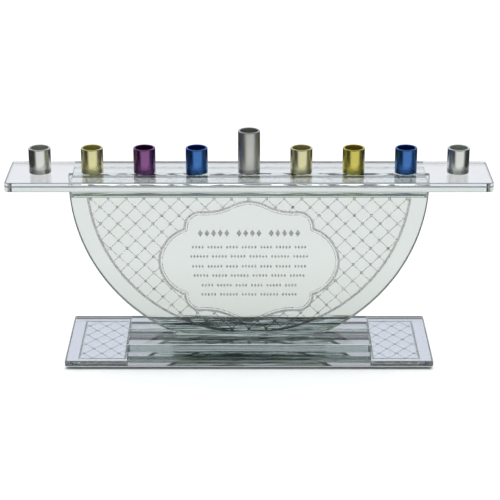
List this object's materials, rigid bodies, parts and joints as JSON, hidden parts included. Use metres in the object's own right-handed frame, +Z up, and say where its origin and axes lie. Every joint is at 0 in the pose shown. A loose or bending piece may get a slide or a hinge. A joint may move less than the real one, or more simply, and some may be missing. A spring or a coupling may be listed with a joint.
{
  "type": "menorah",
  "caption": "Glass candle holder: a half-round plaque on a mirror base carries a long shelf with a row of metal candle cups and a taller cup in the middle.",
  "frame": {"origin": "on the table, under the middle of the base", "axes": "+X along the shelf, front of the plaque faces -Y, +Z up"},
  "size_m": [0.29, 0.0722, 0.1399],
  "materials": {
    "clear_glass": "polished, faint green tint, ground and polished edges",
    "plaque_glass": "polished, pale grey green",
    "mirror_coat": "silvered underside of the base glass",
    "silver_print": "fine silver glitter ink",
    "ornament_print": "matt silver-grey ink",
    "bumper_plastic": "clear soft bumper",
    "bright_aluminium": "bright turned aluminium",
    "satin_aluminium": "satin anodised natural",
    "khaki_gold_aluminium": "anodised pale olive gold",
    "purple_aluminium": "anodised purple",
    "blue_aluminium": "anodised blue",
    "champagne_aluminium": "anodised champagne gold",
    "yellow_gold_aluminium": "anodised yellow gold"
  },
  "bodies": {
    "root": {"front_left_foot": "bumper_plastic", "front_right_foot": "bumper_plastic", "rear_left_foot": "bumper_plastic", "rear_right_foot": "bumper_plastic", "base_mirror_coat": "mirror_coat", "base_glass": "clear_glass", "base_left_border_print": "silver_print", "base_left_lattice_print": "silver_print", "base_right_border_print": "silver_print", "base_right_lattice_print": "silver_print", "lower_front_bar": "clear_glass", "lower_rear_bar": "clear_glass", "plaque_glass": "plaque_glass", "plaque_border_print": "silver_print", "plaque_lattice_print": "silver_print", "cartouche_border_print": "silver_print", "cartouche_inner_line_print": "silver_print", "title_ornament_print": "ornament_print", "row_ornament_print": "ornament_print", "upper_front_bar": "clear_glass", "upper_rear_bar": "clear_glass", "shelf_glass": "clear_glass", "first_candle_cup": "bright_aluminium", "second_candle_cup": "khaki_gold_aluminium", "third_candle_cup": "purple_aluminium", "fourth_candle_cup": "blue_aluminium", "servant_candle_cup": "satin_aluminium", "fifth_candle_cup": "champagne_aluminium", "sixth_candle_cup": "yellow_gold_aluminium", "seventh_candle_cup": "blue_aluminium", "eighth_candle_cup": "bright_aluminium"}
  },
  "joints": []
}
